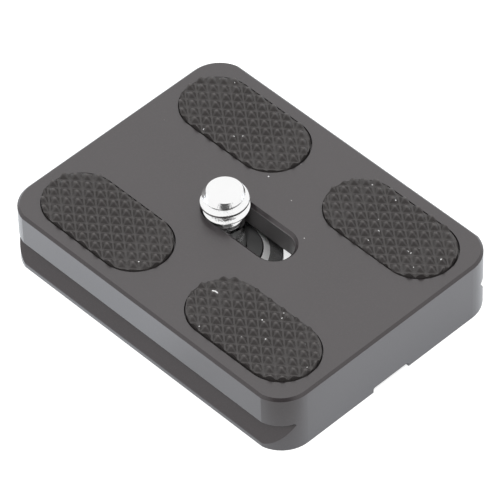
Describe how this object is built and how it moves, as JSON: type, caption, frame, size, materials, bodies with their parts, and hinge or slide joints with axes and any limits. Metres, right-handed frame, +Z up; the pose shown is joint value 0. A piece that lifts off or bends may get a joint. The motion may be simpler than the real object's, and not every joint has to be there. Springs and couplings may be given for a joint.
{
  "type": "tripod quick release plate",
  "caption": "Dovetail quick release plate with rubber grip pads and a captive camera screw that slides along a slot and turns in it.",
  "frame": {"origin": "middle of the plate's bottom face", "axes": "+X along the dovetail and the slot, +Y across the plate, +Z up through the camera screw"},
  "size_m": [0.05, 0.038, 0.0125],
  "materials": {
    "anodised_aluminium": "fine matt anodised",
    "grip_rubber": "matt moulded",
    "plated_steel": "bright plated",
    "dark_washer": "smooth"
  },
  "bodies": {
    "plate": {"plate_body": "anodised_aluminium", "grip_pad_front_right": "grip_rubber", "grip_pad_front_left": "grip_rubber", "grip_pad_back_right": "grip_rubber", "grip_pad_back_left": "grip_rubber"},
    "washer": {"friction_washer": "dark_washer"},
    "screw": {"camera_screw": "plated_steel"}
  },
  "joints": [
    {"name": "screw_slide", "type": "slide", "parent": "plate", "child": "washer", "axis": [1, 0, 0], "range_m": [-0.0003, 0.00886]},
    {"name": "screw_turn", "type": "hinge", "parent": "washer", "child": "screw", "pos_m": [-0.00428, 0, 0], "axis": [0, 0, 1], "continuous": true}
  ]
}
